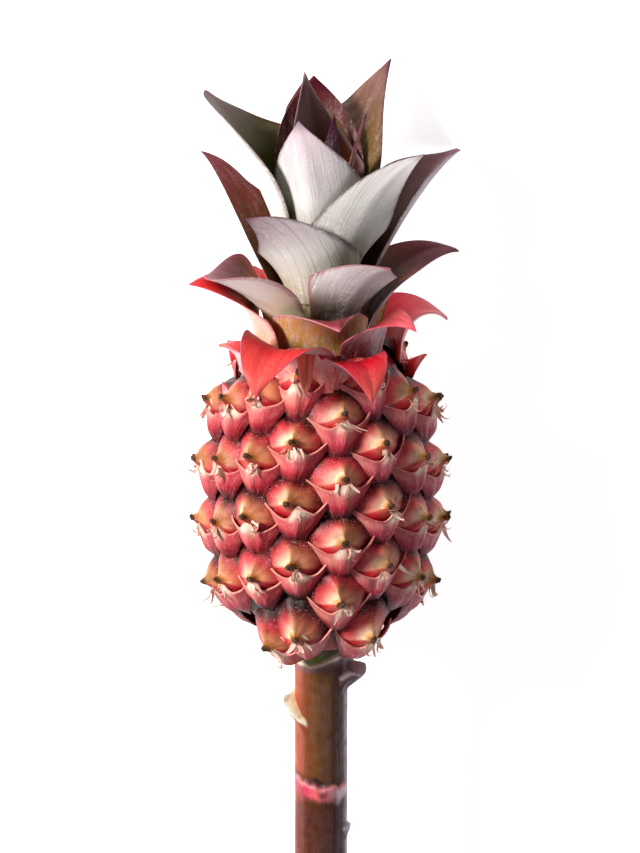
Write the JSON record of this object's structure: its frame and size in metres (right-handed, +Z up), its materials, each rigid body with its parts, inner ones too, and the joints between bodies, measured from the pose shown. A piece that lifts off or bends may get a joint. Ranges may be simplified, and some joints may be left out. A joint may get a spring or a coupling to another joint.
{
  "type": "cut ornamental pineapple",
  "caption": "Small ornamental pineapple cut with its flower stalk, lying on its side: studded red fruit, leafy crown above, scarred stalk with a flat cut end.",
  "frame": {"origin": "bottom centre of the box round the plant as it lies, on the surface it lies on", "axes": "+Z up, +Y from the cut end of the stalk towards the crown's tip, +X to the plant's right"},
  "size_m": [0.0542, 0.1778, 0.057],
  "materials": {
    "stalk": "satin",
    "fruit_rind": "satin",
    "crown_core": "matte",
    "bract": "satin",
    "crown_leaf": "satin"
  },
  "bodies": {
    "root": {"bract_back_high": "bract", "bract_back_low": "bract", "bract_back_middle": "bract", "bract_front_curled": "bract", "bract_front_left_curled": "bract", "bract_front_right_curled": "bract", "bract_front_right_high": "bract", "bract_left_side_high": "bract", "bract_left_side_low": "bract", "bract_right_side_high": "bract", "bract_right_side_low": "bract", "crown_core": "crown_core", "fruit": "fruit_rind", "leaf_back_left_high": "crown_leaf", "leaf_back_left_inner": "crown_leaf", "leaf_back_left_low": "crown_leaf", "leaf_back_middle": "crown_leaf", "leaf_back_right_high": "crown_leaf", "leaf_back_right_low": "crown_leaf", "leaf_front_high": "crown_leaf", "leaf_front_left_low": "crown_leaf", "leaf_front_left_middle": "crown_leaf", "leaf_front_low": "crown_leaf", "leaf_front_right_high": "crown_leaf", "leaf_front_right_middle": "crown_leaf", "leaf_left_high": "crown_leaf", "leaf_left_inner": "crown_leaf", "leaf_left_low": "crown_leaf", "leaf_left_middle": "crown_leaf", "leaf_right_inner": "crown_leaf", "leaf_right_low": "crown_leaf", "leaf_right_middle": "crown_leaf", "stalk": "stalk"}
  },
  "joints": []
}
